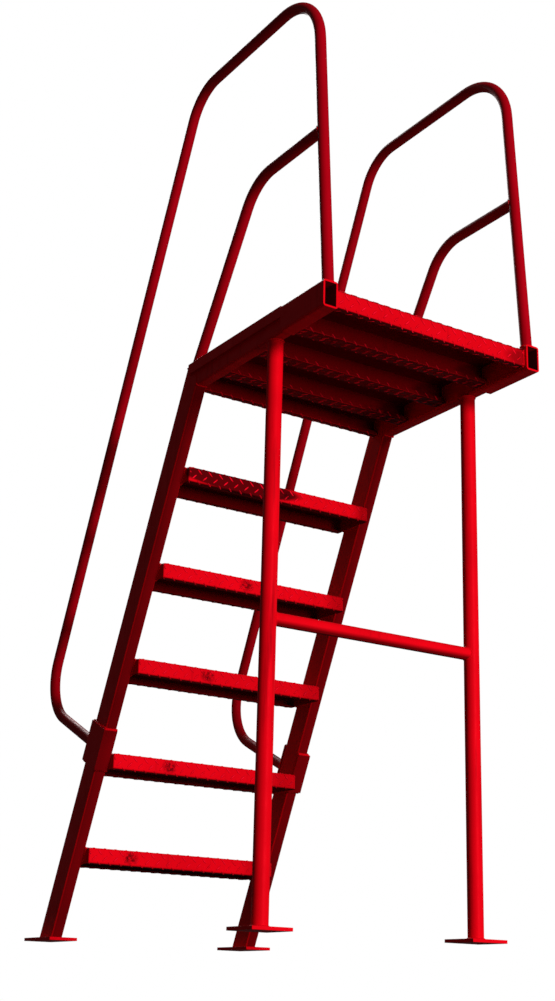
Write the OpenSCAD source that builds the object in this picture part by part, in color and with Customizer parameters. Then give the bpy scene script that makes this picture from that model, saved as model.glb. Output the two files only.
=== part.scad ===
// Steel access stair with a raised platform and bent-tube handrails.
// +Z is up and z = 0 is the floor. +X runs across the width. The open end of the
// platform faces -Y and the stair comes down toward +Y. Millimetres.

/* [Platform] */
// Width over the outer faces of the two platform rails
frame_w = 824; // [700:2:1000]
// Height of the tops of the platform rails above the floor
rail_top = 1800; // [1700:5:2200]
// Length of each platform rail, from its open front end to the stringer
rail_len = 738; // [600:2:1000]
// Length of the larger open-ended front part of each rail
front_len = 225; // [150:5:280]
// Width of one full deck plank
plank_w = 205.5; // [160:0.5:240]
// Distance of the deck's front edge behind the open rail ends
deck_setback = 12; // [5:1:30]
// How far the walking surface lies below the rail tops
deck_drop = 4; // [0:1:10]
// Depth of a folded deck plank
plank_h = 68; // [50:1:72]
// Height of the upright front face under the deck's sloped nosing
nosing_face_h = 54; // [35:1:60]
// Length of the sloped nosing, front to back
nosing_len = 22; // [10:1:30]

/* [Rails] */
// Height of the front rail section
rail_h = 85; // [80:1:100]
// Width of the front rail section
rail_w = 51; // [46:1:70]
// Wall of the front rail section
rail_wall = 6; // [3:0.5:8]
// Height of the rear rail section
rear_h = 80; // [74:1:84]
// Width of the rear rail section and of the stringers
rear_w = 40; // [30:1:44]
// Wall of the rear rail section and of the stringers
rear_wall = 4; // [3:0.5:6]
// Height of the flat strip along the outside of the rear rail
strip_h = 36; // [20:1:50]
// How far the strip runs on past the rail, over the stringer's side
strip_over = 38; // [20:1:45]

/* [Stringers and treads] */
// Slope of the stair, from the floor
slope = 64.7; // [58:0.1:72]
// Depth of a stringer, square to the slope
stringer_d = 92; // [75:1:110]
// Height of one rise
rise = 295; // [240:5:320]
// Depth of a tread, front to back
tread_depth = 185; // [150:1:220]
// Height of a tread's folded side
tread_h = 51; // [40:1:60]
// How far a tread's rear side stands out behind the stringers
tread_out = 23; // [10:1:40]
// Length of a stringer collar along the slope
collar_len = 139; // [100:1:180]
// Height of the middle of a stringer collar, on the stringer's rear face
collar_z = 600; // [500:5:750]
// Thickness of a collar
collar_t = 8; // [4:1:10]

/* [Folded sheet] */
// Thickness of the folded chequer plate
sheet = 4; // [3:0.5:5]
// Width of the inward return along the bottom edges
return_w = 26; // [15:1:35]
// Height of the upturned lip on a deck plank's returns
lip_h = 15; // [8:1:25]

/* [Legs] */
// Outside diameter of a leg
leg_d = 48.3; // [42:0.1:60.3]
// Wall of the legs, handrails and brace
tube_wall = 2.9; // [2:0.1:3.6]
// Distance of the legs behind the open rail ends
leg_y = 304; // [280:1:450]
// Distance of a leg's centre inward from the rail's outer face
leg_in = 36; // [32:1:42]
// Outside diameter of the brace between the legs
brace_d = 40; // [33.7:0.1:44]
// Height of the brace above the floor
brace_z = 861; // [400:1:1400]

/* [Handrails] */
// Outside diameter of the handrail tube
hand_d = 36; // [30:0.5:42]
// Distance of a handrail's centre inward from the rail's outer face
hand_in = 30.5; // [25:0.5:32]
// Height of the handrail's centre above the rail tops
hand_h = 1072; // [900:1:1200]
// Height of the mid rail's centre above the rail tops
mid_h = 532; // [400:1:600]
// Distance of the post's foot behind the open rail end
post_y = 22; // [20:1:60]
// Lean of the post, backward from upright
post_lean = 4.1; // [0:0.1:8]
// Slope of the handrail's long run, from the floor
hand_slope = 65.8; // [58:0.1:72]
// Distance along Y from the stringer's rear face to the handrail's long run
hand_out = 613; // [450:1:700]
// Slope of the mid rail's rising run
mid_slope = 58; // [50:0.5:70]
// Distance of the mid rail's foot behind the open rail end
mid_foot_y = 770; // [600:1:1000]
// How far below the collar's middle the handrail is welded to it
hand_low = 9; // [0:1:30]
// Radius of the tube bends, at the centre of the tube
bend_r = 165; // [110:5:200]
// Radius of the bend at the top of each post
post_bend_r = 215; // [120:5:240]

/* [Feet] */
// Thickness of the foot plates
foot_t = 10; // [6:1:15]
// Side of a leg's square foot plate
leg_foot = 130; // [110:1:160]
// Spacing of the four anchor holes in a leg's foot plate
leg_hole_pitch = 95; // [80:1:100]
// Width of a stringer's foot plate
stringer_foot_w = 100; // [90:1:120]
// Length of a stringer's foot plate
stringer_foot_l = 200; // [180:1:240]
// Spacing of the anchor holes across a stringer's foot plate
foot_hole_x = 68; // [66:1:72]
// Spacing of the anchor holes along a stringer's foot plate
foot_hole_y = 165; // [150:1:168]
// Diameter of the anchor holes
anchor_d = 14; // [10:0.5:16]

/* [Hidden] */
$fn = 96;

red = [0.78, 0.03, 0.09];
dark_red = [0.62, 0.02, 0.07];
cap_t = 4;
corner_r = 8;
far = 4000;
side_x = frame_w / 2;
inner_x = side_x - rail_w;
strip_t = rail_w - rear_w;
rear_bottom = rail_top - rear_h;
rear_mid_x = inner_x + rear_w / 2;
front_mid_x = inner_x + rail_w / 2;
leg_x = side_x - leg_in;
hand_x = side_x - hand_in;
deck_top = rail_top - deck_drop;
deck_rear = stringer_far_y(rail_top);
collar_s = collar_z / sin(slope);
hand_path = hand_points();
hand_bends = [0, bend_r, bend_r, post_bend_r];
mid_bends = [0, bend_r];
// A bend's wall is drawn this much inside the straight tube's wall, and the straight
// ends run this far into the bends, so that the pieces of one tube always merge.
bend_inset = 0.05;
bend_lap = 0.3;
// The handrail's lowest bend reaches farthest toward +Y.
low_bend = bend_centre(hand_path[0], hand_path[1], hand_path[2], bend_r);
total_len = low_bend[0] + bend_r + hand_d / 2;

// Y of the stringer's rear face and of its climbing face at a height.
function stringer_near_y(z) = rail_len + (rear_bottom - z) / tan(slope);
function stringer_far_y(z) = stringer_near_y(z) + stringer_d / sin(slope);

// Side-view points are [y, z].
function unit(v) = v / norm(v);
function dir(angle) = [cos(angle), sin(angle)];
function cross_at(p, a, q, b) =
    p + dir(a) * ((q - p) * [sin(b), -cos(b)]) / (dir(a) * [sin(b), -cos(b)]);
function bend_centre(a, b, c, r) =
    b + unit(unit(a - b) + unit(c - b)) * r / sin(half_angle(a, b, c));
function half_angle(a, b, c) = acos(unit(a - b) * unit(c - b)) / 2;
function tangent_len(a, b, c, r) = r / tan(half_angle(a, b, c));
function angle_of(v) = atan2(v[1], v[0]);
function turn(from, to) = (to - from + 540) % 360 - 180;

// Corners of the handrail's centre line, from the collar weld to the post's foot.
function hand_points() =
    let (
        run = [stringer_near_y(rear_bottom) + hand_out, rear_bottom],
        s = collar_s - hand_low,
        square = stringer_d + collar_t,
        weld = [stringer_near_y(0), 0] + s * dir(180 - slope) + square * dir(90 - slope),
        low = cross_at(weld, 90 - slope, run, 180 - hand_slope),
        top = rail_top + hand_h,
        high = cross_at(run, 180 - hand_slope, [0, top], 0),
        post_top = [post_y + hand_h * tan(post_lean), top],
        foot = [post_y, rail_top]
    )
    [weld, low, high, post_top, foot - 20 * unit(post_top - foot)];

// Corners of the mid rail's centre line, from its foot to the middle of the post.
function mid_points() =
    let (
        foot = [mid_foot_y, rail_top],
        high = cross_at(foot, 180 - mid_slope, [0, rail_top + mid_h], 0)
    )
    [foot - 40 * dir(180 - mid_slope), high, [post_y + mid_h * tan(post_lean), rail_top + mid_h]];

// Rectangle with rounded corners, drawn from its lower left corner.
function arc_points(c, r, from) =
    [for (i = [0:6]) c + r * dir(from + i * 15)];
function round_rect(w, h, r) = concat(
    arc_points([w - r, r], r, 270), arc_points([w - r, h - r], r, 0),
    arc_points([r, h - r], r, 90), arc_points([r, r], r, 180));

module box_section(w, h, wall, r) {
    inner_r = max(r - wall, 1.5);
    difference() {
        polygon(round_rect(w, h, r));
        translate([wall, wall]) polygon(round_rect(w - 2 * wall, h - 2 * wall, inner_r));
    }
}

// Puts a piece of the left side, drawn at +X, on its side of the stair.
module on_side(left) {
    translate([0, -total_len / 2, 0])
        mirror([left ? 1 : 0, 0, 0])
            children();
}

module centred() {
    translate([0, -total_len / 2, 0]) children();
}

// Turns a side view [y, z] upright, extruded along +X from x = 0.
module side_view() {
    rotate([90, 0, 90]) children();
}

// One box section lying along Y with its lower inner corner at x, z.
module lying_section(x, z, from, to, w, h, wall, r) {
    translate([x, to, z])
        rotate([90, 0, 0])
            linear_extrude(height = to - from)
                box_section(w, h, wall, r);
}

// ---------------------------------------------------------------- platform rails

module rail_front(left) {
    color(red)
        on_side(left)
            lying_section(inner_x, rail_top - rail_h, 0, front_len, rail_w, rail_h, rail_wall, corner_r);
}

module rail_rear(left) {
    color(dark_red)
        on_side(left)
            lying_section(inner_x, rear_bottom, front_len, rail_len, rear_w, rear_h, rear_wall, corner_r);
}

module rail_strip(left) {
    color(dark_red)
        on_side(left)
            translate([side_x - strip_t, front_len, rail_top - strip_h])
                cube([strip_t, rail_len + strip_over - front_len, strip_h]);
}

// --------------------------------------------------------------------- stringers

// Places children drawn square to the slope: x across, y from the rear face toward
// the climbing face, z up the slope from the floor.
module on_slope() {
    translate([inner_x, stringer_near_y(0), 0])
        rotate([90 - slope, 0, 0])
            children();
}

module stringer_length(from, to) {
    on_slope()
        translate([0, 0, from])
            linear_extrude(height = to - from)
                box_section(rear_w, stringer_d, rear_wall, corner_r);
}

module stringer_upper(left) {
    color(red)
        on_side(left)
            difference() {
                stringer_length(collar_s, rail_top / sin(slope) + stringer_d);
                translate([0, -far, rear_bottom]) cube([far, far + rail_len, far]);
                translate([0, 0, rail_top - cap_t]) cube([far, far, far]);
            }
}

module stringer_lower(left) {
    color(red)
        on_side(left)
            difference() {
                stringer_length(-2 * stringer_d, collar_s);
                translate([0, 0, foot_t - far]) cube([far, far, far]);
            }
}

module stringer_cap(left) {
    color(dark_red)
        on_side(left)
            translate([inner_x, rail_len, rail_top - cap_t])
                cube([rear_w, stringer_far_y(rail_top - cap_t) - rail_len, cap_t]);
}

// Channel that wraps the outer three faces of the stringer and joins its two lengths.
module stringer_collar(left) {
    color(dark_red)
        on_side(left)
            on_slope()
                translate([0, 0, collar_s - collar_len / 2])
                    difference() {
                        translate([0, -collar_t, 0])
                            cube([rear_w + collar_t, stringer_d + 2 * collar_t, collar_len]);
                        translate([-1, 0, -1])
                            cube([rear_w + 1, stringer_d, collar_len + 2]);
                    }
}

// ------------------------------------------------------------------------ treads

// Folded pan, open below: top, four sides, and returns along both long sides.
// Drawn from x = 0, with its rear side on y = 0 and its top on z = 0.
module tread_pan(w, depth, h) {
    difference() {
        translate([0, 0, -h]) cube([w, depth, h]);
        translate([sheet, sheet, sheet - h]) cube([w - 2 * sheet, depth - 2 * sheet, h - 2 * sheet]);
        translate([sheet, return_w, -h - 1]) cube([w - 2 * sheet, depth - 2 * return_w, sheet + 2]);
    }
}

module tread(i) {
    top = i * rise;
    color(red)
        centred()
            translate([-inner_x, stringer_near_y(top) - tread_out, top])
                tread_pan(2 * inner_x, tread_depth, tread_h);
}

// -------------------------------------------------------------------------- deck

// Side view of a lipped folded plank with its front on y = 0 and its top on z = 0.
module plank_outline(w, drop) {
    a = atan2(drop, nosing_len);
    fold_z = sheet * tan(a) - drop - sheet / cos(a);
    fold_y = drop > 0 ? (drop - sheet + sheet / cos(a)) / tan(a) : sheet;
    outer_nose = drop > 0 ? [[0, -drop], [nosing_len, 0]] : [[0, 0]];
    inner_nose = drop > 0 ? [[fold_y, -sheet], [sheet, fold_z]] : [[sheet, -sheet]];
    low = -plank_h;
    over = low + sheet;
    lip = low + lip_h;
    polygon(concat(
        [[return_w, lip], [return_w, low], [0, low]], outer_nose, [[w, 0], [w, low]],
        [[w - return_w, low], [w - return_w, lip], [w - return_w + sheet, lip]],
        [[w - return_w + sheet, over], [w - sheet, over], [w - sheet, -sheet]], inner_nose,
        [[sheet, over], [return_w - sheet, over], [return_w - sheet, lip]]));
}

// The front plank has a sloped nosing and the last one runs to the top of the stringers.
module deck_plank(i) {
    from = deck_setback + (i - 1) * plank_w;
    to = i == 4 ? deck_rear : from + plank_w;
    color(red)
        centred()
            translate([-inner_x, from, deck_top])
                side_view()
                    linear_extrude(height = 2 * inner_x)
                        plank_outline(to - from, i == 1 ? plank_h - nosing_face_h : 0);
}

// -------------------------------------------------------------------------- legs

module tube(d, wall, h) {
    difference() {
        cylinder(h = h, d = d);
        translate([0, 0, -1]) cylinder(h = h + 2, d = d - 2 * wall);
    }
}

module leg(left) {
    color(red)
        on_side(left)
            translate([leg_x, leg_y, foot_t])
                tube(leg_d, tube_wall, rear_bottom - foot_t);
}

// Its ends are notched round to fit against the legs.
module leg_brace() {
    color(red)
        centred()
            difference() {
                translate([-leg_x, leg_y, brace_z])
                    rotate([0, 90, 0])
                        tube(brace_d, tube_wall, 2 * leg_x);
                for (x = [-leg_x, leg_x])
                    translate([x, leg_y, brace_z - brace_d]) cylinder(h = 2 * brace_d, d = leg_d);
            }
}

// --------------------------------------------------------------------- handrails

module ring(d, wall) {
    difference() {
        circle(d = d);
        circle(d = d - 2 * wall);
    }
}

// Tube along a side-view path, with its corners bent to the radii given.
module bent_tube(points, bends) {
    side_view() {
        for (i = [0:len(points) - 2]) straight_run(points, bends, i);
        for (i = [1:len(points) - 2]) tube_bend(points[i - 1], points[i], points[i + 1], bends[i]);
    }
}

module straight_run(points, bends, i) {
    last = len(points) - 2;
    along = points[i + 1] - points[i];
    from = i == 0 ? 0 : tangent_len(points[i - 1], points[i], points[i + 1], bends[i]) - bend_lap;
    to = i == last ? 0 : tangent_len(points[i], points[i + 1], points[i + 2], bends[i + 1]) - bend_lap;
    translate(points[i] + unit(along) * from)
        rotate([0, 0, angle_of(along)])
            rotate([0, 90, 0])
                linear_extrude(height = norm(along) - from - to)
                    ring(hand_d, tube_wall);
}

module tube_bend(a, b, c, r) {
    centre = bend_centre(a, b, c, r);
    t = tangent_len(a, b, c, r);
    first = angle_of(b + unit(a - b) * t - centre);
    second = angle_of(b + unit(c - b) * t - centre);
    sweep = turn(first, second);
    translate(centre)
        rotate([0, 0, sweep > 0 ? first : second])
            rotate_extrude(angle = abs(sweep))
                translate([r, 0])
                    ring(hand_d - 2 * bend_inset, tube_wall - 2 * bend_inset);
}

module handrail(left) {
    color(red)
        on_side(left)
            difference() {
                translate([hand_x, 0, 0]) bent_tube(hand_path, hand_bends);
                translate([0, -hand_d, rail_top - hand_d]) cube([side_x, 4 * hand_d, hand_d]);
            }
}

// Its foot is cut flat for the stringer and its front end is notched for the post.
module mid_rail(left) {
    color(red)
        on_side(left)
            difference() {
                translate([hand_x, 0, 0]) bent_tube(mid_points(), mid_bends);
                translate([0, mid_foot_y - 4 * hand_d, rail_top - 2 * hand_d])
                    cube([side_x, 8 * hand_d, 2 * hand_d]);
                translate([hand_x, post_y, rail_top])
                    rotate([-post_lean, 0, 0])
                        cylinder(h = hand_h - post_bend_r, d = hand_d);
            }
}

// -------------------------------------------------------------------------- feet

module foot_plate(w, l, hole_x, hole_y) {
    difference() {
        translate([-w / 2, -l / 2, 0]) cube([w, l, foot_t]);
        for (x = [-hole_x / 2, hole_x / 2], y = [-hole_y / 2, hole_y / 2])
            translate([x, y, -1]) cylinder(h = foot_t + 2, d = anchor_d);
    }
}

module leg_foot(left) {
    color(dark_red)
        on_side(left)
            translate([leg_x, leg_y, 0])
                foot_plate(leg_foot, leg_foot, leg_hole_pitch, leg_hole_pitch);
}

module stringer_foot(left) {
    mid_y = (stringer_near_y(foot_t) + stringer_far_y(foot_t)) / 2;
    color(dark_red)
        on_side(left)
            translate([rear_mid_x, mid_y, 0])
                foot_plate(stringer_foot_w, stringer_foot_l, foot_hole_x, foot_hole_y);
}

rail_front(true);  // rail_front_left
rail_front(false);  // rail_front_right
rail_rear(true);  // rail_rear_left
rail_rear(false);  // rail_rear_right
rail_strip(true);  // rail_strip_left
rail_strip(false);  // rail_strip_right
stringer_upper(true);  // stringer_upper_left
stringer_upper(false);  // stringer_upper_right
stringer_lower(true);  // stringer_lower_left
stringer_lower(false);  // stringer_lower_right
stringer_cap(true);  // stringer_cap_left
stringer_cap(false);  // stringer_cap_right
stringer_collar(true);  // stringer_collar_left
stringer_collar(false);  // stringer_collar_right
tread(1);  // tread_1
tread(2);  // tread_2
tread(3);  // tread_3
tread(4);  // tread_4
tread(5);  // tread_5
deck_plank(1);  // deck_plank_1
deck_plank(2);  // deck_plank_2
deck_plank(3);  // deck_plank_3
deck_plank(4);  // deck_plank_4
leg(true);  // leg_left
leg(false);  // leg_right
leg_brace();
handrail(true);  // handrail_left
handrail(false);  // handrail_right
mid_rail(true);  // mid_rail_left
mid_rail(false);  // mid_rail_right
leg_foot(true);  // leg_foot_left
leg_foot(false);  // leg_foot_right
stringer_foot(true);  // stringer_foot_left
stringer_foot(false);  // stringer_foot_right
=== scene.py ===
import math

import bmesh
import bpy
from mathutils import Matrix, Vector


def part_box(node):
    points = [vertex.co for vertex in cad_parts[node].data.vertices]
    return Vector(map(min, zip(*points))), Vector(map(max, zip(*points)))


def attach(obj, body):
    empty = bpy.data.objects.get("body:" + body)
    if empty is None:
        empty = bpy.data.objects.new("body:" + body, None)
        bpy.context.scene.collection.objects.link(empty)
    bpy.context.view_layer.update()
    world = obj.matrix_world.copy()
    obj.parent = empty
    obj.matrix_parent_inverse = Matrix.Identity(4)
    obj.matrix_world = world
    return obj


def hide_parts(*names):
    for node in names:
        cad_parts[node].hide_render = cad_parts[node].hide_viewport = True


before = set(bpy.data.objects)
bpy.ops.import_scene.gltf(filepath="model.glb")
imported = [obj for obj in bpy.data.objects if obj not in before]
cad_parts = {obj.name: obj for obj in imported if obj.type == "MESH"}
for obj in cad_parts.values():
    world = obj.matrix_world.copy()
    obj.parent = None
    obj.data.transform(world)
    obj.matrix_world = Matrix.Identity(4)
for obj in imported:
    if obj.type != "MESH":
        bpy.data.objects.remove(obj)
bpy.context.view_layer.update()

# ------------------------------------------------------------- platform rails
# Two box-section rails carry the deck. Each has a larger open front length, a
# smaller rear length butted to it, and a flat strip along its outer face. They
# are saw-cut mild steel, welded and sprayed with one gloss red enamel.

MM = 0.001
RED = (0.80, 0.0010, 0.0070, 1)
DEEP_RED = (0.55, 0.0006, 0.0045, 1)
# A darker red for inside the open rail ends: painted shade.
BORE_SHADE_RED = (0.26, 0.0014, 0.0040, 1)
# A near-black red, used both for dirt and for painted shade.
GRIME_AND_SHADE = (0.020, 0.0006, 0.0012, 1)
WALL = 5.5 * MM
RIPPLE = 2.6 * MM


def link(tree, source, target):
    """Joins an output socket to an input socket."""
    tree.links.new(source, target)


def math_node(tree, operation, first, second=None):
    """A Math node fed by sockets or numbers."""
    node = tree.nodes.new("ShaderNodeMath")
    node.operation = operation
    node.use_clamp = operation in {"MULTIPLY", "ADD", "SUBTRACT"}
    for socket, value in zip(node.inputs, (first, second), strict=False):
        if value is None:
            continue
        if isinstance(value, (int, float)):
            socket.default_value = value
        else:
            link(tree, value, socket)
    return node.outputs[0]


def noise(tree, place, scale, detail=4.0, rough=0.55):
    """A noise pattern at a place in the part's own frame."""
    node = tree.nodes.new("ShaderNodeTexNoise")
    node.inputs["Scale"].default_value = scale
    node.inputs["Detail"].default_value = detail
    node.inputs["Roughness"].default_value = rough
    link(tree, place, node.inputs["Vector"])
    return node.outputs["Fac"]


def ramp(tree, factor, low, high, start=0.0, end=1.0):
    """Remaps a factor from low..high to start..end, clamped."""
    node = tree.nodes.new("ShaderNodeMapRange")
    node.inputs["From Min"].default_value = low
    node.inputs["From Max"].default_value = high
    node.inputs["To Min"].default_value = start
    node.inputs["To Max"].default_value = end
    link(tree, factor, node.inputs["Value"])
    return node.outputs["Result"]


def mix(tree, factor, first, second):
    """A colour between two, each a socket or a plain colour."""
    node = tree.nodes.new("ShaderNodeMix")
    node.data_type = "RGBA"
    if isinstance(factor, (int, float)):
        node.inputs[0].default_value = factor
    else:
        link(tree, factor, node.inputs[0])
    for socket, value in ((node.inputs[6], first), (node.inputs[7], second)):
        if isinstance(value, tuple):
            socket.default_value = value
        else:
            link(tree, value, socket)
    return node.outputs[2]


def stretched(tree, place, scale):
    """The place scaled by axis, so that a pattern on it runs in streaks."""
    node = tree.nodes.new("ShaderNodeMapping")
    node.inputs["Scale"].default_value = scale
    link(tree, place, node.inputs["Vector"])
    return node.outputs[0]


def box_mask(tree, place, low, high):
    """One inside the box from low to high, in the part's own frame, and nought outside."""
    axes = tree.nodes.new("ShaderNodeSeparateXYZ")
    link(tree, place, axes.inputs[0])
    inside = 1.0
    for axis, least, most in zip("XYZ", low, high, strict=True):
        for operation, limit in (("GREATER_THAN", least), ("LESS_THAN", most)):
            side = math_node(tree, operation, axes.outputs[axis], limit)
            inside = math_node(tree, "MULTIPLY", side, inside)
    return inside


def paint_place(tree):
    """The output that a paint's patterns take their place from."""
    return next(n for n in tree.nodes if n.type == "TEX_COORD").outputs["Object"]


def red_enamel(name, grime, streaks, underside, orange_peel=0.12,
               near_shade=0.0, near_shade_edge=-0.38, paint=RED, deep=DEEP_RED):
    """Sprayed gloss enamel: two reds in soft clouds, dust, run-off streaks, and painted shade
    on faces that face down. Painted shade can also cover faces that lean down to the open end."""
    material = bpy.data.materials.new(name)
    material.use_nodes = True
    tree = material.node_tree
    shader = tree.nodes["Principled BSDF"]
    place = tree.nodes.new("ShaderNodeTexCoord").outputs["Object"]

    clouds = ramp(tree, noise(tree, place, 5.5, 5.0), 0.36, 0.66)
    colour = mix(tree, math_node(tree, "MULTIPLY", clouds, 0.42), paint, deep)
    specks = ramp(tree, noise(tree, place, 260.0, 3.0, 0.7), 0.60, 0.74)
    blotches = ramp(tree, noise(tree, place, 16.0, 6.0, 0.62), 0.50, 0.72)
    dust = math_node(tree, "MULTIPLY", math_node(tree, "MULTIPLY", specks, blotches), grime)
    upright = stretched(tree, place, (70.0, 70.0, 3.2))
    runs = ramp(tree, noise(tree, upright, 1.0, 5.0, 0.6), 0.56, 0.78)
    runs = math_node(tree, "MULTIPLY", runs, streaks)
    normal = tree.nodes.new("ShaderNodeSeparateXYZ")
    link(tree, tree.nodes.new("ShaderNodeNewGeometry").outputs["Normal"], normal.inputs[0])
    # Painted shade: faces that face down are darkened, a little unevenly, as deep as underside
    # says.
    below = ramp(tree, normal.outputs["Z"], -0.5, -0.95)
    crosswise = stretched(tree, place, (2.2, 34.0, 12.0))
    under_shade = ramp(tree, noise(tree, crosswise, 1.0, 7.0, 0.66), 0.40, 0.62, 0.76, 1.0)
    under_shade = math_node(tree, "MULTIPLY", math_node(tree, "MULTIPLY", under_shade, below), underside)
    # Dust and run-off streaks are dirt; the darkening of faces that face down or lean down is
    # painted shade.
    dirt_and_shade = math_node(tree, "MAXIMUM", math_node(tree, "MAXIMUM", dust, runs), under_shade)
    # Painted shade on faces that lean down towards the open end, slightly uneven.
    if near_shade:
        down = ramp(tree, normal.outputs["Z"], -0.22, near_shade_edge)
        forward = ramp(tree, normal.outputs["Y"], -0.3, -0.6)
        leaning = math_node(tree, "MULTIPLY", down, forward)
        broad = stretched(tree, place, (3.0, 1.2, 1.2))
        uneven = ramp(tree, noise(tree, broad, 1.0, 3.0), 0.3, 0.7, 0.88, 1.0)
        lean_shade = math_node(tree, "MULTIPLY", math_node(tree, "MULTIPLY", leaning, uneven), near_shade)
        dirt_and_shade = math_node(tree, "MAXIMUM", dirt_and_shade, lean_shade)
    link(tree, mix(tree, dirt_and_shade, colour, GRIME_AND_SHADE), shader.inputs["Base Color"])

    rough = ramp(tree, noise(tree, place, 22.0, 4.0), 0.3, 0.7, 0.36, 0.50)
    rough = math_node(tree, "ADD", rough, math_node(tree, "MULTIPLY", dirt_and_shade, 0.4))
    link(tree, rough, shader.inputs["Roughness"])
    bump = tree.nodes.new("ShaderNodeBump")
    bump.inputs["Strength"].default_value = orange_peel
    bump.inputs["Distance"].default_value = 0.4 * MM
    link(tree, noise(tree, place, 420.0, 2.0), bump.inputs["Height"])
    link(tree, bump.outputs[0], shader.inputs["Normal"])
    shader.inputs["Specular IOR Level"].default_value = 0.12
    shader.inputs["Specular Tint"].default_value = (1.0, 0.02, 0.05, 1)
    return material


def soften(obj, width):
    """Joins a piece's loose triangles and rounds its edges, as grinding and paint do."""
    weld = obj.modifiers.new("join", "WELD")
    weld.merge_threshold = 0.02 * MM
    edge = obj.modifiers.new("edge", "BEVEL")
    edge.width = width
    edge.segments = 2
    edge.limit_method = "ANGLE"
    edge.angle_limit = math.radians(35)
    edge.harden_normals = True


def paint_node(node, material, edge_width=None):
    """Gives a CAD piece its paint, and softened edges where a width is given."""
    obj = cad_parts[node]
    obj.data.materials.clear()
    obj.data.materials.append(material)
    if edge_width:
        soften(obj, edge_width)


def keep(obj, material):
    """Puts a finished piece on the stair's one body, with its paint."""
    obj.data.materials.append(material)
    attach(obj, "root")


def new_piece(name, bm, smooth=True):
    """Makes an object at the origin from a bmesh, and links it to the scene."""
    mesh = bpy.data.meshes.new(name)
    bm.to_mesh(mesh)
    bm.free()
    mesh.polygons.foreach_set("use_smooth", [smooth] * len(mesh.polygons))
    obj = bpy.data.objects.new(name, mesh)
    bpy.context.scene.collection.objects.link(obj)
    return obj


def lay_bead(name, routes, radius):
    """Weld beads: a round run of weld metal along each route, with the ripples of the pool."""
    bm = bmesh.new()
    for route in routes:
        points = [Vector(p) for p in route]
        closed = (points[0] - points[-1]).length < 1e-6
        steps = []
        for a, b in zip(points, points[1:], strict=False):
            count = max(1, round((b - a).length / RIPPLE))
            steps += [a.lerp(b, i / count) for i in range(count)]
        if not closed:
            steps.append(points[-1])
        rings = []
        for i, point in enumerate(steps):
            if closed:
                along = steps[(i + 1) % len(steps)] - steps[i - 1]
            else:
                along = steps[min(i + 1, len(steps) - 1)] - steps[max(i - 1, 0)]
            size = radius * (1.0 + 0.13 * math.sin(i * 2.2) + 0.08 * math.sin(i * 0.37 + 1.0))
            turn = along.to_track_quat("Z", "Y").to_matrix().to_4x4()
            ring = bmesh.ops.create_circle(
                bm, segments=8, radius=size, matrix=Matrix.Translation(point) @ turn)["verts"]
            rings.append(list({e for v in ring for e in v.link_edges}))
        pairs = list(zip(rings, rings[1:], strict=False))
        if closed:
            pairs.append((rings[-1], rings[0]))
        for first, second in pairs:
            bmesh.ops.bridge_loops(bm, edges=first + second)
        if not closed:
            for ring in (rings[0], rings[-1]):
                bmesh.ops.contextual_create(bm, geom=ring)
    bmesh.ops.recalc_face_normals(bm, faces=bm.faces)
    keep(new_piece(name, bm), weld_red)


def round_turn(count):
    """Evenly spaced angles once round a circle."""
    return [2 * math.pi * i / count for i in range(count)]


def ring_route(centre, axis, radius):
    """A closed circle of points round an axis."""
    turn = Vector(axis).to_track_quat("Z", "Y")
    points = [Vector(centre) + turn @ Vector((radius * math.cos(a), radius * math.sin(a), 0))
              for a in round_turn(28)]
    return points + [points[0]]


frame_red = red_enamel("frame_enamel", grime=0.7, streaks=0.35, underside=0.42)
weld_red = red_enamel("weld_enamel", grime=0.9, streaks=0.2, underside=0.4, orange_peel=0.3)
# Inside the open front ends of the rails the red is darker: painted shade in the bores.
socket_red = red_enamel("open_end_enamel", grime=0.7, streaks=0.35, underside=0.42)
tree = socket_red.node_tree
place = paint_place(tree)
front_low, front_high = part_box("rail_front_right")
bore_low = (front_low.x + WALL, front_low.y - MM, front_low.z + WALL)
bore_high = (front_high.x - WALL, front_high.y + MM, front_high.z - WALL)
right_bore = box_mask(tree, place, bore_low, bore_high)
left_bore = box_mask(tree, place, (-bore_high[0], *bore_low[1:]), (-bore_low[0], *bore_high[1:]))
bore_shade = math_node(tree, "ADD", right_bore, left_bore)
shader = tree.nodes["Principled BSDF"]
painted = shader.inputs["Base Color"].links[0].from_socket
link(tree, mix(tree, bore_shade, painted, BORE_SHADE_RED), shader.inputs["Base Color"])
for side in ("left", "right"):
    paint_node(f"rail_front_{side}", socket_red)
    paint_node(f"rail_rear_{side}", frame_red)
    paint_node(f"rail_strip_{side}", frame_red, 1.2 * MM)

rear_low, rear_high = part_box("rail_rear_right")
strip_low, strip_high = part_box("rail_strip_right")
for side, sign in (("left", -1), ("right", 1)):
    rear_face, step_y = sign * rear_high.x, front_high.y
    lay_bead(f"rail_butt_weld_{side}", [
        [(rear_face, step_y, rear_low.z + 8 * MM), (rear_face, step_y, strip_low.z)],
        [(sign * rear_low.x, step_y, rear_low.z), (rear_face, step_y, rear_low.z)],
    ], 3.0 * MM)
    lay_bead(f"rail_strip_weld_{side}", [
        [(rear_face, step_y + 4 * MM, strip_low.z),
         (rear_face, strip_high.y - 3 * MM, strip_low.z)],
    ], 2.2 * MM)

# ----------------------------------------------------------------- deck planks
# Four planks are folded from chequer plate, with the pattern outside, returned
# and lipped along the bottom and welded between the rails. The front one has a
# sloped nosing. Their undersides carry drips of dirt, and painted shade darkens them.

SHEET = 4.0 * MM
FOLD = 6.5 * MM
RETURN = 26.0 * MM
LIP = 15.0 * MM
PITCH = 20.0 * MM
LUG = (27.0 * MM, 7.25 * MM, 1.5 * MM)
SUNK = 0.4 * MM
EDGE_GAP = 13 * MM
NOSING = (22 * MM, 14 * MM)
# Lug tops, lighter than the plate: partly rubbed paint, partly a painted highlight.
RUBBED_HIGHLIGHT_RED = (0.95, 0.004, 0.020, 1)
# Painted shade: the deck takes a darker copy of the same red.
SHADED_DECK_RED = (0.70, 0.0010, 0.0065, 1)


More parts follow.
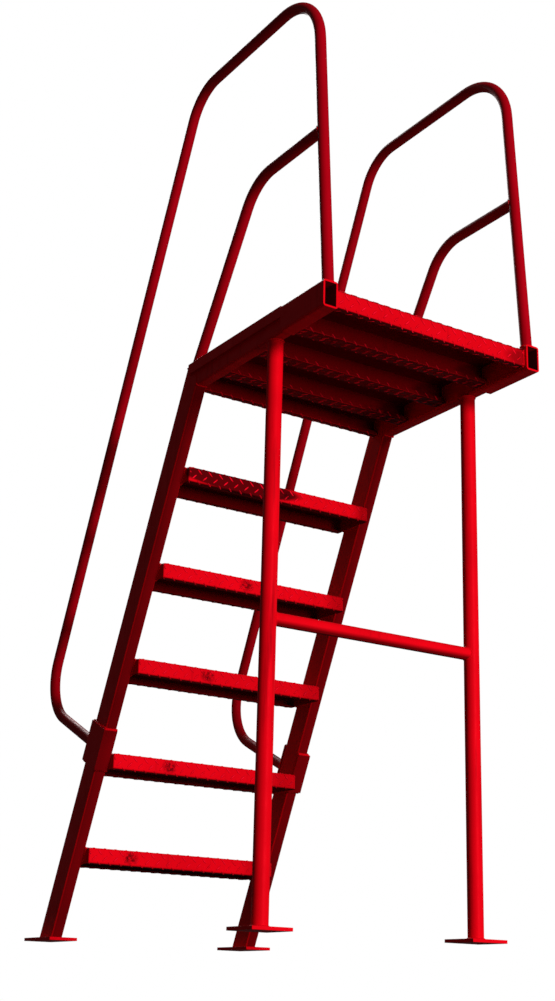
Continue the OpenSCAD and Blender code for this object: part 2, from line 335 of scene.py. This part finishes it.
def fold_point(corners, s):
    """Point and outward normal at distance s along a folded outline, with its corners rounded."""
    lines = [(b - a) for a, b in zip(corners, corners[1:], strict=False)]
    index = 0
    while index < len(lines) - 1 and s > lines[index].length:
        s -= lines[index].length
        index += 1
    along = lines[index].normalized()
    outward = Vector((-along.y, along.x))
    for corner, near in ((index, s), (index + 1, lines[index].length - s)):
        if corner in (0, len(lines)):
            continue
        before, after = lines[corner - 1].normalized(), lines[corner].normalized()
        angle = before.angle_signed(after)
        reach = FOLD * abs(math.tan(angle / 2))
        if near < reach:
            part = 0.5 * near / reach
            part = 0.5 + part if corner == index else 0.5 - part
            first = Vector((-before.y, before.x))
            bent = Matrix.Rotation(-angle * part, 2) @ first
            sign = 1 if angle > 0 else -1
            centre = corners[corner] - before * reach - first * FOLD * sign
            return centre + bent * FOLD * sign, bent
    return corners[index] + along * s, outward


def one_lug():
    """One raised lug: a lens with a narrower top."""
    bm = bmesh.new()
    lug_top = bm.verts.layers.float.new("lug_top")
    bmesh.ops.create_circle(bm, segments=6, radius=0.5, cap_ends=True)
    bmesh.ops.scale(bm, vec=(LUG[0], LUG[1], 1), verts=bm.verts)
    grown = bmesh.ops.extrude_face_region(bm, geom=bm.faces[:])["geom"]
    top = [v for v in grown if isinstance(v, bmesh.types.BMVert)]
    bmesh.ops.scale(bm, vec=(0.80, 0.42, 1), verts=top)
    for v in top:
        v[lug_top] = 1.0
    bmesh.ops.translate(bm, vec=(0, 0, LUG[2] + SUNK), verts=top)
    bmesh.ops.translate(bm, vec=(0, 0, -SUNK), verts=bm.verts)
    bmesh.ops.recalc_face_normals(bm, faces=bm.faces)
    mesh = bpy.data.meshes.new("lug_pattern")
    bm.to_mesh(mesh)
    bm.free()
    return mesh


lug_mesh = one_lug()


def roll_lugs(corners, start, half_width):
    """The plate's raised pattern: rows of lugs that lean left and right in turn and
    follow the folds."""
    length = sum((b - a).length for a, b in zip(corners, corners[1:], strict=False))
    bm = bmesh.new()
    bm.verts.layers.float.new("lug_top")
    columns = int(half_width / PITCH) + 1
    for j in range(int(-start / PITCH) - 1, int((length - start) / PITCH) + 2):
        s = start + PITCH * j
        if not 0.004 < s < length - 0.004:
            continue
        lean = math.radians(45 if j % 2 else -45)
        for i in range(-columns, columns + 1):
            if (i + j) % 2:
                continue
            fresh = len(bm.verts)
            bm.from_mesh(lug_mesh)
            bm.verts.ensure_lookup_table()
            for v in bm.verts[fresh:]:
                x = i * PITCH + v.co.x * math.cos(lean) - v.co.y * math.sin(lean)
                along = s + v.co.x * math.sin(lean) + v.co.y * math.cos(lean)
                point, outward = fold_point(corners, min(max(along, 0.0005), length - 0.0005))
                point = point + outward * v.co.z
                v.co = (x, point.x, point.y)
    for side in (-1, 1):
        cut = bmesh.ops.bisect_plane(
            bm, geom=bm.verts[:] + bm.edges[:] + bm.faces[:], plane_co=(side * half_width, 0, 0),
            plane_no=(side, 0, 0), clear_outer=True)["geom_cut"]
        bmesh.ops.holes_fill(bm, edges=[e for e in cut if isinstance(e, bmesh.types.BMEdge)])
    bmesh.ops.recalc_face_normals(bm, faces=bm.faces)
    return bm


def chequer_enamel(name, wear_and_highlight, underside, lug_shadows, marks, paint=RED, shade_boxes=()):
    """The same enamel on rolled pattern plate: painted shade in the shade boxes, painted shadow at
    the lug feet, and lighter lug tops, part rubbed paint, part painted highlight. A mark is a
    place, a size, a depth and whether it covers the lugs or only the plate between them."""
    material = red_enamel(name, grime=0.9, streaks=0.25, underside=underside,
                          orange_peel=0.2, paint=paint)
    tree = material.node_tree
    shader = tree.nodes["Principled BSDF"]
    painted = shader.inputs["Base Color"].links[0].from_socket
    place = paint_place(tree)
    # Painted shade: the plate is darkened inside each of the shade boxes.
    for low, high, depth in shade_boxes:
        box_shade = math_node(tree, "MULTIPLY", box_mask(tree, place, low, high), depth)
        painted = mix(tree, box_shade, painted, GRIME_AND_SHADE)
    top = tree.nodes.new("ShaderNodeAttribute")
    top.attribute_name = "lug_top"
    patchy = ramp(tree, noise(tree, place, 34.0, 4.0, 0.6), 0.34, 0.56)
    # Lighter lug tops: partly rubbed paint, partly a painted highlight.
    crown = ramp(tree, top.outputs["Fac"], 0.30, 0.50)
    rub_and_highlight = math_node(tree, "MULTIPLY", math_node(tree, "MULTIPLY", crown, patchy), wear_and_highlight)
    colour = mix(tree, rub_and_highlight, painted, RUBBED_HIGHLIGHT_RED)
    # Painted shadow: a thin dark line round the foot of each lug.
    foot = ramp(tree, top.outputs["Fac"], 0.02, 0.15)
    flank_shadow = math_node(tree, "MULTIPLY", foot, ramp(tree, top.outputs["Fac"], 0.60, 0.35))
    colour = mix(tree, math_node(tree, "MULTIPLY", flank_shadow, lug_shadows), colour, GRIME_AND_SHADE)
    for centre, size, depth, on_lugs in marks:
        away = tree.nodes.new("ShaderNodeVectorMath")
        away.operation = "DISTANCE"
        sway = tree.nodes.new("ShaderNodeVectorMath")
        sway.operation = "MULTIPLY_ADD"
        link(tree, place, sway.inputs[0])
        sway.inputs[1].default_value = (1 / size[0], 1 / size[1], 1 / size[2])
        sway.inputs[2].default_value = tuple(-c / d for c, d in zip(centre, size, strict=True))
        link(tree, sway.outputs[0], away.inputs[0])
        away.inputs[1].default_value = (0, 0, 0)
        blot = ramp(tree, away.outputs["Value"], 1.0, 0.45 if on_lugs else 0.85)
        torn = ramp(tree, noise(tree, place, 95.0, 4.0, 0.7), 0.40, 0.56)
        if not on_lugs:
            torn = math_node(tree, "SUBTRACT", 1.0, crown)
        blot = math_node(tree, "MULTIPLY", math_node(tree, "MULTIPLY", blot, torn), depth)
        colour = mix(tree, blot, colour, GRIME_AND_SHADE)
    link(tree, colour, shader.inputs["Base Color"])
    return material


def sheet_piece(name, bm, lugs, material, node):
    """Joins a folded sheet and its raised pattern, and stands them for the plain CAD sheet."""
    bm.verts.layers.float.new("lug_top")
    lug_copy = bpy.data.meshes.new("pattern")
    lugs.to_mesh(lug_copy)
    lugs.free()
    bm.from_mesh(lug_copy)
    bpy.data.meshes.remove(lug_copy)
    obj = new_piece(name, bm, smooth=False)
    edge = obj.modifiers.new("shade", "WEIGHTED_NORMAL")
    edge.keep_sharp = True
    keep(obj, material)
    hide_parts(node)


def fold_plank(low, high, nosing):
    """A lipped channel, open below, with its outside on the CAD plank's faces. Gives the
    mesh and the outline that it was folded to."""
    base, top = low.z, high.z
    corners = [(low.y + RETURN, base + LIP), (low.y + RETURN, base), (low.y, base)]
    corners += [(low.y, top - nosing[1]), (low.y + nosing[0], top)] if nosing else [(low.y, top)]
    corners += [(high.y, top), (high.y, base)]
    corners += [(high.y - RETURN, base), (high.y - RETURN, base + LIP)]
    corners = [Vector(c) for c in corners]
    bm = bmesh.new()
    verts = [bm.verts.new((low.x, c.x, c.y)) for c in corners]
    for a, b in zip(verts, verts[1:], strict=False):
        bm.edges.new((a, b))
    bmesh.ops.bevel(bm, geom=verts[1:-1], offset=FOLD, offset_type="OFFSET", segments=5,
                    profile=0.5, affect="VERTICES", material=-1)
    grown = bmesh.ops.extrude_edge_only(bm, edges=bm.edges[:])["geom"]
    bmesh.ops.translate(bm, vec=(high.x - low.x, 0, 0),
                        verts=[v for v in grown if isinstance(v, bmesh.types.BMVert)])
    bmesh.ops.recalc_face_normals(bm, faces=bm.faces)
    if max(bm.faces, key=lambda f: f.calc_center_median().z).normal.z < 0:
        bmesh.ops.reverse_faces(bm, faces=bm.faces)
    bmesh.ops.solidify(bm, geom=bm.faces[:], thickness=SHEET)
    return bm, corners


# Marks below the deck: three drips of dirt, and the plate darker over a wide area towards the right
# rail.
DRIP_Z = 1.728
PATCH_Z = 1.75
plank_marks = [
    ((0.11, -0.40, DRIP_Z), (0.06, 0.045, 0.03), 0.9, True),
    ((-0.20, -0.62, DRIP_Z), (0.05, 0.03, 0.03), 0.7, True),
    ((0.24, -0.25, DRIP_Z), (0.09, 0.10, 0.04), 0.8, True),
    ((0.40, -0.45, PATCH_Z), (0.19, 0.45, 0.06), 0.65, True),
    ((0.42, -0.45, PATCH_Z), (0.20, 0.60, 0.06), 0.55, False),
]
planks = [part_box(f"deck_plank_{i}") for i in (1, 2, 3, 4)]
deck_low, deck_high = planks[0][0], planks[3][1]
IN_FACE = 2.6 * MM
UNDER_TOP = 3.5 * MM
BELOW = 9 * MM
near, far = deck_low.y + IN_FACE, deck_high.y - IN_FACE
# Painted shade in the planks' recesses and on their returns below.
recesses = ((-1, near, deck_low.z + 3.5 * MM), (1, far, deck_high.z - UNDER_TOP), 0.64)
returns = ((-1, near, deck_low.z - BELOW), (1, far, deck_low.z + 2.5 * MM), 0.82)
deck_red = chequer_enamel("deck_enamel", wear_and_highlight=1.0, underside=0.12, lug_shadows=0.95,
                          marks=plank_marks, paint=SHADED_DECK_RED, shade_boxes=(recesses, returns))
for i, (low, high) in enumerate(planks, 1):
    low, high = low + Vector((0, 0.5 * MM, 0)), high - Vector((0, 0.5 * MM, 0))
    sheet, outline = fold_plank(low, high, NOSING if i == 1 else None)
    to_top = (outline[1] - outline[0]).length + RETURN + (outline[3] - outline[2]).length
    lugs = roll_lugs(outline, to_top - EDGE_GAP, high.x)
    sheet_piece(f"chequer_plank_{i}", sheet, lugs, deck_red, f"deck_plank_{i}")

for side, sign in (("left", -1), ("right", 1)):
    edge_x = sign * (planks[0][1].x - 1 * MM)
    bottom, top = planks[0][0].z, planks[0][1].z
    front_y = planks[0][0].y
    routes = [[(edge_x, front_y, bottom + 2 * MM), (edge_x, front_y, top - NOSING[1])]]
    for low, high in planks:
        routes.append([(edge_x, low.y + 2 * MM, bottom), (edge_x, low.y + RETURN, bottom)])
        routes.append([(edge_x, high.y - RETURN, bottom), (edge_x, high.y - 2 * MM, bottom)])
    back_y = planks[3][1].y
    routes.append([(edge_x, back_y, bottom + 4 * MM), (edge_x, back_y, top - 4 * MM)])
    lay_bead(f"deck_weld_{side}", routes, 2.6 * MM)

# ------------------------------------------------------------------- stringers
# Each stringer is two lengths of box section joined inside a channel-shaped
# collar, mitred to the rail at the top and closed there by a small plate.

SLOPE = math.radians(64.7)
DEPTH = 92 * MM
HALF_COLLAR = 69.5 * MM

# The stringers and collars carry painted shade on their near faces, which lean down to the open
# end.
stringer_red = red_enamel("stringer_enamel", grime=0.7, streaks=0.35, underside=0.42, near_shade=0.85)
for side in ("left", "right"):
    paint_node(f"stringer_upper_{side}", stringer_red)
    paint_node(f"stringer_lower_{side}", stringer_red)
    paint_node(f"stringer_cap_{side}", stringer_red, 1.0 * MM)
    paint_node(f"stringer_collar_{side}", stringer_red, 1.8 * MM)

collar_low, collar_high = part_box("stringer_collar_right")
cap_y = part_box("stringer_cap_right")[0].y
up_slope = Vector((0, -math.cos(SLOPE), math.sin(SLOPE)))
square = Vector((0, math.sin(SLOPE), math.cos(SLOPE)))
near_foot = Vector((0, rear_high.y + rear_low.z / math.tan(SLOPE), 0))
collar_middle = (collar_low.z + collar_high.z) / 2
collar_at = (collar_middle - (near_foot + square * DEPTH / 2).z) / math.sin(SLOPE)
for side, sign in (("left", -1), ("right", 1)):
    inner, outer = sign * rear_low.x, sign * rear_high.x
    routes = []
    for end in (-1, 1):
        at = near_foot + up_slope * (collar_at + end * HALF_COLLAR)
        near_side, far_side = at - square * MM, at + square * (DEPTH + MM)
        routes.append([
            Vector((inner, 0, 0)) + near_side,
            Vector((outer + sign * MM, 0, 0)) + near_side,
            Vector((outer + sign * MM, 0, 0)) + far_side,
            Vector((inner, 0, 0)) + far_side,
        ])
    lay_bead(f"collar_weld_{side}", routes, 4.5 * MM)
    lay_bead(f"stringer_top_weld_{side}", [
        [(outer, cap_y, rear_low.z), (outer, cap_y, strip_low.z)],
        [(outer, cap_y, rear_low.z), (inner, cap_y, rear_low.z)],
        [(outer, strip_high.y, strip_low.z), (outer, strip_high.y, strip_high.z)],
    ], 2.6 * MM)

# ---------------------------------------------------------------------- treads
# Each tread is a pan folded from the same chequer plate, pattern outside, with
# closed ends and returns below, welded by its ends between the stringers.

tread_boxes = [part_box(f"tread_{k}") for k in (1, 2, 3, 4, 5)]
# A boot has scuffed each front face, further right on each tread up from the floor.
FIRST_SCUFF, SCUFF_STEP = -0.205, 0.0545
tread_marks = []
# Painted shade darkens the inside of each tread pan.
hollows = []
for k, (low, high) in enumerate(tread_boxes):
    scuff = (FIRST_SCUFF + SCUFF_STEP * k, low.y, (low.z + high.z) / 2)
    tread_marks.append((scuff, (0.032, 0.02, 0.024), 0.8, True))
    hollows.append(((-high.x, low.y + IN_FACE, low.z - BELOW),
                    (high.x, high.y - IN_FACE, high.z - UNDER_TOP), 0.62))
top_low, top_high = tread_boxes[4]
packed_dirt = (-0.16, top_low.y, (top_low.z + top_high.z) / 2 + 4 * MM)
tread_marks.append((packed_dirt, (0.25, 0.040, 0.034), 0.90, False))
tread_red = chequer_enamel("tread_enamel", wear_and_highlight=0.9, underside=0.7, lug_shadows=0.95,
                           marks=tread_marks, shade_boxes=hollows)


def fold_tread(low, high):
    """A pan with rounded folds, closed ends and a return along each long side."""
    bm = bmesh.new()
    bmesh.ops.create_cube(bm, size=1, matrix=Matrix.Translation((low + high) / 2)
                          @ Matrix.Diagonal(Vector((*(high - low), 1))))
    bmesh.ops.delete(bm, geom=[f for f in bm.faces if f.normal.z < -0.5], context="FACES_ONLY")
    rim = [e for e in bm.edges if e.is_boundary and abs(e.verts[0].co.x - e.verts[1].co.x) > 0.1]
    grown = bmesh.ops.extrude_edge_only(bm, edges=rim)["geom"]
    middle = (low.y + high.y) / 2
    for v in (g for g in grown if isinstance(g, bmesh.types.BMVert)):
        v.co.y += RETURN if v.co.y < middle else -RETURN
        v.co.x *= 1 - 5 * MM / high.x
    folds = [e for e in bm.edges if not e.is_boundary]
    bmesh.ops.bevel(bm, geom=folds, offset=FOLD, offset_type="OFFSET", segments=4, profile=0.5,
                    affect="EDGES", material=-1)
    bmesh.ops.recalc_face_normals(bm, faces=bm.faces)
    if max(bm.faces, key=lambda f: f.calc_center_median().z).normal.z < 0:
        bmesh.ops.reverse_faces(bm, faces=bm.faces)
    bmesh.ops.solidify(bm, geom=bm.faces[:], thickness=SHEET)
    outline = [Vector(c) for c in (
        (low.y + RETURN, low.z), (low.y, low.z), (low.y, high.z),
        (high.y, high.z), (high.y, low.z), (high.y - RETURN, low.z))]
    return bm, outline


for k, (low, high) in enumerate(tread_boxes, 1):
    pan, outline = fold_tread(low, high)
    lugs = roll_lugs(outline, RETURN + (high.z - low.z) - EDGE_GAP, high.x - 4 * MM)
    sheet_piece(f"chequer_tread_{k}", pan, lugs, tread_red, f"tread_{k}")
    for side, sign in (("left", -1), ("right", 1)):
        x = sign * (high.x - 0.5 * MM)
        near = near_foot + up_slope * (low.z / math.sin(SLOPE))
        near_top = near_foot + up_slope * (high.z / math.sin(SLOPE))
        far_top = near_top + Vector((0, DEPTH / math.sin(SLOPE), 0))
        far_low = near + Vector((0, DEPTH / math.sin(SLOPE), 0))
        lay_bead(f"tread_{k}_weld_{side}", [
            [(x, near.y + 2 * MM, low.z), (x, far_low.y - 2 * MM, low.z)],
            [(x, near_top.y + 2 * MM, high.z), (x, far_top.y - 2 * MM, high.z)],
            [(x, near.y, near.z), (x, near_top.y, near_top.z)],
        ], 2.8 * MM)

# --------------------------------------------------------------- legs and brace
# Two plain tubes stand under the rails and a slimmer one, notched at its ends,
# is welded between them.

leg_red = red_enamel("leg_enamel", grime=0.6, streaks=0.55, underside=0.2)
# Painted shade darkens the brace's faces that lean down and forward, and those that face down.
brace_red = red_enamel("brace_enamel", grime=0.6, streaks=0.2, underside=0.85,
                       near_shade=0.86, near_shade_edge=-0.80)
for node in ("leg_left", "leg_right"):
    paint_node(node, leg_red)
paint_node("leg_brace", brace_red)
brace_low, brace_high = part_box("leg_brace")
brace_z = (brace_low.z + brace_high.z) / 2
brace_r = (brace_high.z - brace_low.z) / 2
for side, sign in (("left", -1), ("right", 1)):
    low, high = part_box(f"leg_{side}")
    leg_x, leg_y, leg_r = (low.x + high.x) / 2, (low.y + high.y) / 2, (high.x - low.x) / 2
    saddle = []
    for a in round_turn(32):
        dy = brace_r * math.cos(a)
        saddle.append((leg_x - sign * math.sqrt(leg_r ** 2 - dy ** 2), leg_y + dy,
                       brace_z + brace_r * math.sin(a)))
    saddle.append(saddle[0])
    top_ring = ring_route((leg_x, leg_y, high.z - MM), (0, 0, 1), leg_r)
    foot_ring = ring_route((leg_x, leg_y, low.z + MM), (0, 0, 1), leg_r)
    lay_bead(f"brace_weld_{side}", [saddle], 2.6 * MM)
    lay_bead(f"leg_top_weld_{side}", [top_ring], 3.0 * MM)
    lay_bead(f"leg_foot_weld_{side}", [foot_ring], 3.4 * MM)

# ------------------------------------------------------------------- handrails
# Each handrail is one tube bent three times, from the rail's open end over and
# down to the collar. A mid rail of the same tube is notched into its post.

# Painted shade: the handrails take a darker copy of the same red.
SHADED_HAND_RED = (0.41, 0.0007, 0.0065, 1)
SHADED_DEEP_HAND_RED = (0.30, 0.0005, 0.0048, 1)
POST_LEAN = math.radians(4.1)
MID_SLOPE = math.radians(58.0)

hand_red = red_enamel("handrail_enamel", grime=0.45, streaks=0.3, underside=0.25,
                      paint=SHADED_HAND_RED, deep=SHADED_DEEP_HAND_RED)
for side in ("left", "right"):
    paint_node(f"handrail_{side}", hand_red)
    paint_node(f"mid_rail_{side}", hand_red)
hand_low, hand_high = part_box("handrail_right")
mid_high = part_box("mid_rail_right")[1]
hand_x = (hand_low.x + hand_high.x) / 2
tube_r = (hand_high.x - hand_low.x) / 2
post_axis = Vector((0, math.sin(POST_LEAN), math.cos(POST_LEAN)))
post_foot = Vector((0, front_low.y + 22 * MM, front_high.z))
mid_height = mid_high.z - tube_r - front_high.z
weld_at = near_foot + up_slope * (collar_at - 9 * MM) + square * (DEPTH + 8 * MM)
half_oval = tube_r / math.sin(MID_SLOPE)
mid_foot_y = mid_high.y - half_oval
for side, sign in (("left", -1), ("right", 1)):
    across = Vector((sign * hand_x, 0, 0))
    foot = ring_route(across + post_foot, (0, 0, 1), tube_r)
    low_end = ring_route(across + weld_at + square * MM, square, tube_r)
    joint = across + post_foot + post_axis * (mid_height / math.cos(POST_LEAN))
    notch = []
    for a in round_turn(32):
        dx, dz = tube_r * math.cos(a) * 0.96, tube_r * math.sin(a)
        dy = math.sqrt(tube_r ** 2 - dx ** 2) * 0.98 + 1.5 * MM + math.tan(POST_LEAN) * dz
        notch.append(joint + Vector((dx, dy, dz)))
    notch.append(notch[0])
    oval = [across + Vector((tube_r * math.cos(a), mid_foot_y + half_oval * math.sin(a),
                             front_high.z + MM)) for a in round_turn(28)]
    oval.append(oval[0])
    lay_bead(f"post_weld_{side}", [foot], 3.6 * MM)
    lay_bead(f"handrail_end_weld_{side}", [low_end], 3.2 * MM)
    lay_bead(f"mid_rail_weld_{side}", [notch, oval], 2.8 * MM)

# ------------------------------------------------------------------ foot plates
# Square-cut plates under the legs and stringers, each with four anchor holes. They
# are mild steel, welded on and sprayed with the rest.

foot_red = red_enamel("foot_enamel", grime=0.9, streaks=0.2, underside=0.3)
for side in ("left", "right"):
    paint_node(f"leg_foot_{side}", foot_red, 0.8 * MM)
    paint_node(f"stringer_foot_{side}", foot_red, 0.8 * MM)

# ------------------------------------------------------- floor, light and camera
# A plain pale floor, open from below, and a white backdrop. A soft key stands in
# front of the open end, a low fill lights the undersides but not the floor, and a
# weaker light stands behind.

FLOOR_HALF = 12
floor_mesh = bmesh.new()
bmesh.ops.create_grid(floor_mesh, x_segments=1, y_segments=1, size=FLOOR_HALF)
floor = new_piece("floor", floor_mesh, smooth=False)
pale = bpy.data.materials.new("floor_pale")
pale.use_nodes = True
tree = pale.node_tree
shader = tree.nodes["Principled BSDF"]
shader.inputs["Base Color"].default_value = (0.86, 0.86, 0.86, 1)
shader.inputs["Roughness"].default_value = 0.9
clear = tree.nodes.new("ShaderNodeBsdfTransparent")
choose = tree.nodes.new("ShaderNodeMixShader")
link(tree, tree.nodes.new("ShaderNodeNewGeometry").outputs["Backfacing"], choose.inputs[0])
link(tree, shader.outputs[0], choose.inputs[1])
link(tree, clear.outputs[0], choose.inputs[2])
link(tree, choose.outputs[0], tree.nodes["Material Output"].inputs["Surface"])
floor.data.materials.append(pale)
floor.visible_diffuse = False
floor.visible_glossy = False

world = bpy.data.worlds.new("studio")
bpy.context.scene.world = world
world.use_nodes = True
tree = world.node_tree
glow = tree.nodes["Background"]
glow.inputs["Color"].default_value = (1, 1, 1, 1)
glow.inputs["Strength"].default_value = 0.05
backdrop = tree.nodes.new("ShaderNodeBackground")
backdrop.inputs["Color"].default_value = (1, 1, 1, 1)
backdrop.inputs["Strength"].default_value = 1.0
choose = tree.nodes.new("ShaderNodeMixShader")
link(tree, tree.nodes.new("ShaderNodeLightPath").outputs["Is Camera Ray"], choose.inputs[0])
link(tree, glow.outputs[0], choose.inputs[1])
link(tree, backdrop.outputs[0], choose.inputs[2])
link(tree, choose.outputs[0], tree.nodes["World Output"].inputs["Surface"])

middle = Vector((0, 0, 1.6))


def soft_light(name, direction, distance, size, energy):
    """A round lamp that looks at the middle of the stair from a direction and distance."""
    lamp = bpy.data.lights.new(name, "AREA")
    lamp.shape = "DISK"
    lamp.size = size
    lamp.energy = energy
    obj = bpy.data.objects.new(name, lamp)
    obj.location = middle + Vector(direction).normalized() * distance
    obj.rotation_euler = (-Vector(direction)).to_track_quat("-Z", "Y").to_euler()
    bpy.context.scene.collection.objects.link(obj)
    return obj


soft_light("key", (0.06, -1.0, 0.14), distance=30.0, size=5.0, energy=7300)
low_fill = soft_light("low_fill", (0.25, -1.0, -0.27), distance=5.0, size=1.6, energy=68)
unlit = bpy.data.collections.new("not_lit_by_low_fill")
unlit.objects.link(floor)
unlit.collection_objects[0].light_linking.link_state = "EXCLUDE"
low_fill.light_linking.receiver_collection = unlit
soft_light("back", (0.2, 1.0, 0.9), distance=9.0, size=4.0, energy=330)

lens = bpy.data.cameras.new("camera")
lens.sensor_fit = "VERTICAL"
lens.sensor_height = 36.0
lens.lens = 54.98
camera = bpy.data.objects.new("camera", lens)
bpy.context.scene.collection.objects.link(camera)
yaw, pitch, roll = math.radians(-32.747), math.radians(18.364), math.radians(1.495)
ahead = Vector((-math.sin(yaw) * math.cos(pitch), math.cos(yaw) * math.cos(pitch), math.sin(pitch)))
level = ahead.cross(Vector((0, 0, 1))).normalized()
upright = level.cross(ahead)
across = level * math.cos(roll) + upright * math.sin(roll)
upward = upright * math.cos(roll) - level * math.sin(roll)
turn = Matrix((across, upward, -ahead)).transposed()
camera.matrix_world = Matrix.Translation(
    (-2.6559, front_low.y - 3.2744, front_high.z - 1.9944)) @ turn.to_4x4()
bpy.context.scene.camera = camera
bpy.context.scene.view_settings.view_transform = "Standard"
